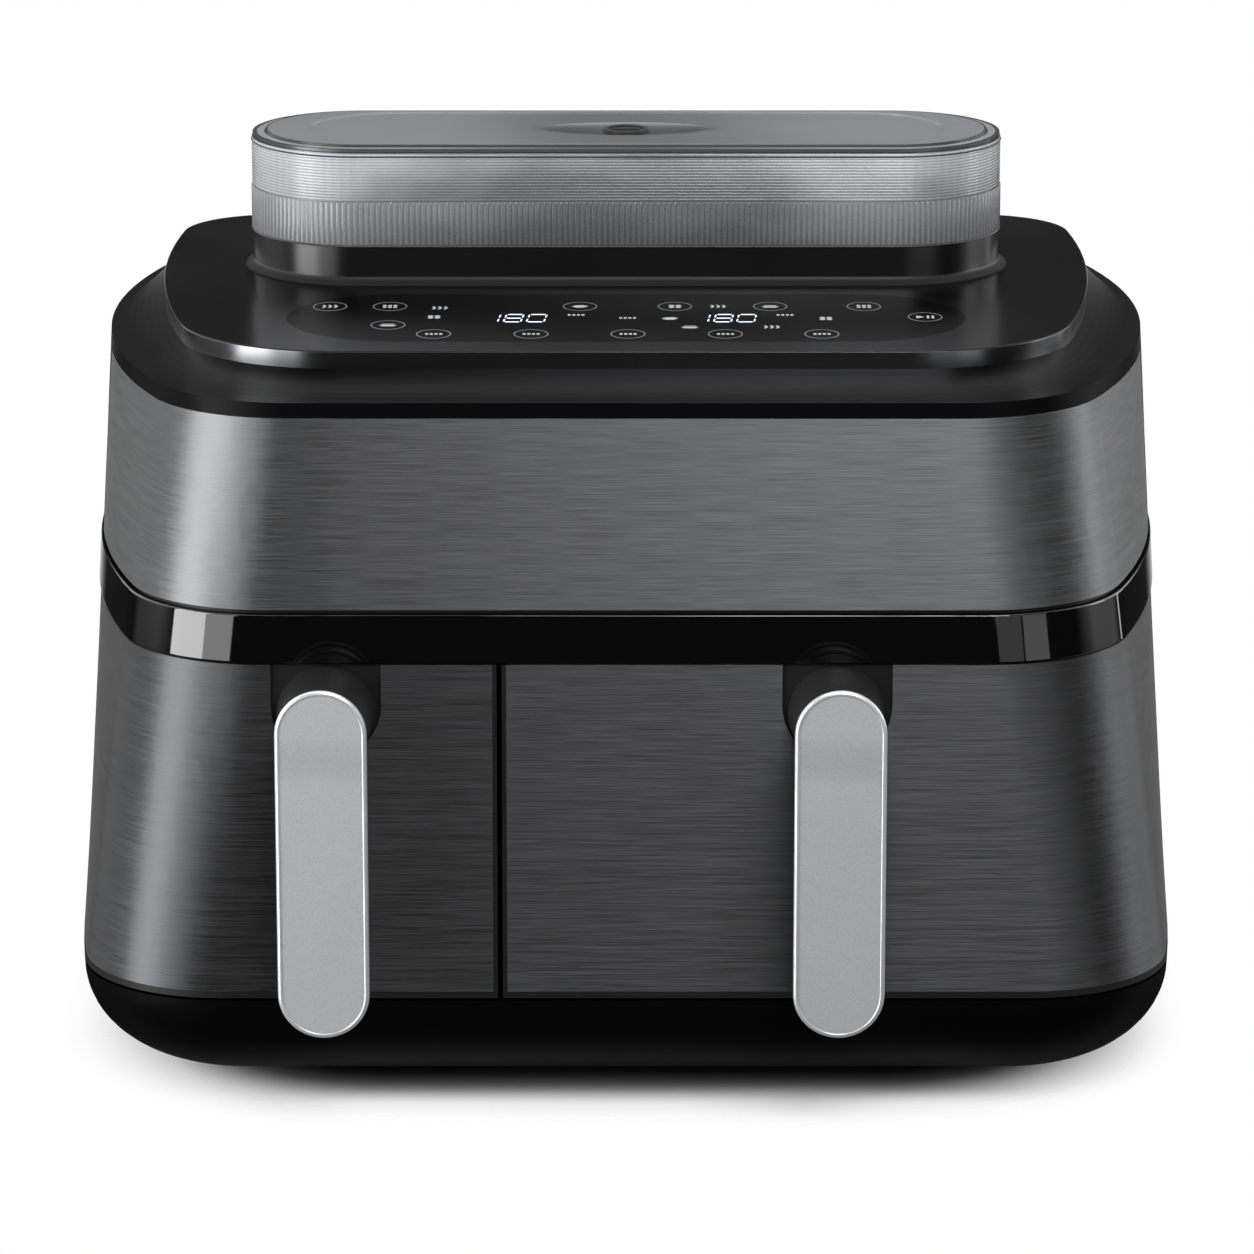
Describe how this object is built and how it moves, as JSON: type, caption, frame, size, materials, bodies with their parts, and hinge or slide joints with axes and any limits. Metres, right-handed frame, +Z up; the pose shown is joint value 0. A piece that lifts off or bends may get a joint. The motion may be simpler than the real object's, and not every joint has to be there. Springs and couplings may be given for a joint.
{
  "type": "dual-drawer air fryer",
  "caption": "Steam air fryer with a wide and a narrow pull-out drawer, bar handles, a raised control deck and a lift-off water tank on top.",
  "frame": {"origin": "bottom centre of the whole object's box, on the plane under the feet", "axes": "+X to the right as seen from the front, +Y to the rear, +Z up; the handles face -Y"},
  "size_m": [0.461, 0.4136, 0.3671],
  "materials": {
    "black_plastic": "satin moulded plastic",
    "gloss_black": "polished",
    "brushed_dark_steel": "fine horizontal grain",
    "silver_face": "fine grain with a polished rim",
    "black_glass": "polished",
    "smoky_plastic": "frosted and ribbed",
    "grey_plastic": "satin",
    "rubber": "matt",
    "plain_steel": "plain sheet",
    "non_stick": "satin non-stick coating",
    "cast_aluminium": "plain",
    "motor_paint": "satin",
    "circuit_board": "lacquered",
    "display": "matt"
  },
  "bodies": {
    "housing": {"base_shell": "black_plastic", "control_board": "circuit_board", "control_deck": "black_plastic", "control_glass": "black_glass", "cord_gland": "black_plastic", "display_modules": "display", "drawer_switches": "black_plastic", "foot_pads": "rubber", "front_frame": "plain_steel", "left_chamber": "plain_steel", "left_fan_motor": "motor_paint", "left_heat_shroud": "plain_steel", "left_heater": "plain_steel", "main_housing": "black_plastic", "power_board": "circuit_board", "rear_panel": "black_plastic", "rear_vent_grille": "black_plastic", "right_chamber": "plain_steel", "right_fan_motor": "motor_paint", "right_heat_shroud": "plain_steel", "right_heater": "plain_steel", "steam_boiler": "cast_aluminium", "steam_hoses": "rubber", "steam_nozzles": "plain_steel", "tank_collar": "black_plastic", "temperature_sensors": "plain_steel", "top_cover": "black_plastic", "trim_band": "gloss_black", "upper_front_panel": "brushed_dark_steel", "wall_spacers": "black_plastic", "water_hose": "rubber", "water_pump": "black_plastic"},
    "left_drawer": {"left_drawer_front": "black_plastic", "left_front_skin": "brushed_dark_steel", "left_handle_arm": "black_plastic", "left_handle_grip": "black_plastic", "left_handle_face": "silver_face", "left_handle_screws": "plain_steel", "left_pan": "non_stick"},
    "right_drawer": {"right_drawer_front": "black_plastic", "right_front_skin": "brushed_dark_steel", "right_handle_arm": "black_plastic", "right_handle_grip": "black_plastic", "right_handle_face": "silver_face", "right_handle_screws": "plain_steel", "right_pan": "non_stick"},
    "left_plate": {"left_crisper_plate": "non_stick", "left_plate_bumpers": "rubber"},
    "right_plate": {"right_crisper_plate": "non_stick", "right_plate_bumpers": "rubber"},
    "left_fan": {"left_fan_wheel": "cast_aluminium", "left_cooling_fan": "cast_aluminium", "left_fan_shaft": "plain_steel"},
    "right_fan": {"right_fan_wheel": "cast_aluminium", "right_cooling_fan": "cast_aluminium", "right_fan_shaft": "plain_steel"},
    "tank": {"water_tank": "smoky_plastic", "tank_valve": "grey_plastic"},
    "lid": {"tank_lid": "smoky_plastic"},
    "plug": {"filler_plug": "grey_plastic"}
  },
  "joints": [
    {"name": "left_drawer_slide", "type": "slide", "parent": "housing", "child": "left_drawer", "axis": [0, -1, 0], "range_m": [0, 0.25]},
    {"name": "right_drawer_slide", "type": "slide", "parent": "housing", "child": "right_drawer", "axis": [0, -1, 0], "range_m": [0, 0.25]},
    {"name": "left_plate_lift", "type": "slide", "parent": "left_drawer", "child": "left_plate", "axis": [0, 0, 1], "range_m": [0, 0.08]},
    {"name": "right_plate_lift", "type": "slide", "parent": "right_drawer", "child": "right_plate", "axis": [0, 0, 1], "range_m": [0, 0.08]},
    {"name": "left_fan_spin", "type": "hinge", "parent": "housing", "child": "left_fan", "pos_m": [-0.12485, 0.01775, 0.2065], "axis": [0, 0, 1], "continuous": true},
    {"name": "right_fan_spin", "type": "hinge", "parent": "housing", "child": "right_fan", "pos_m": [0.07415, 0.01775, 0.2065], "axis": [0, 0, 1], "continuous": true},
    {"name": "tank_lift", "type": "slide", "parent": "housing", "child": "tank", "axis": [0, 0, 1], "range_m": [0, 0.1]},
    {"name": "lid_lift", "type": "slide", "parent": "tank", "child": "lid", "axis": [0, 0, 1], "range_m": [0, 0.06]},
    {"name": "plug_lift", "type": "slide", "parent": "lid", "child": "plug", "axis": [0, 0, 1], "range_m": [0, 0.03]}
  ]
}
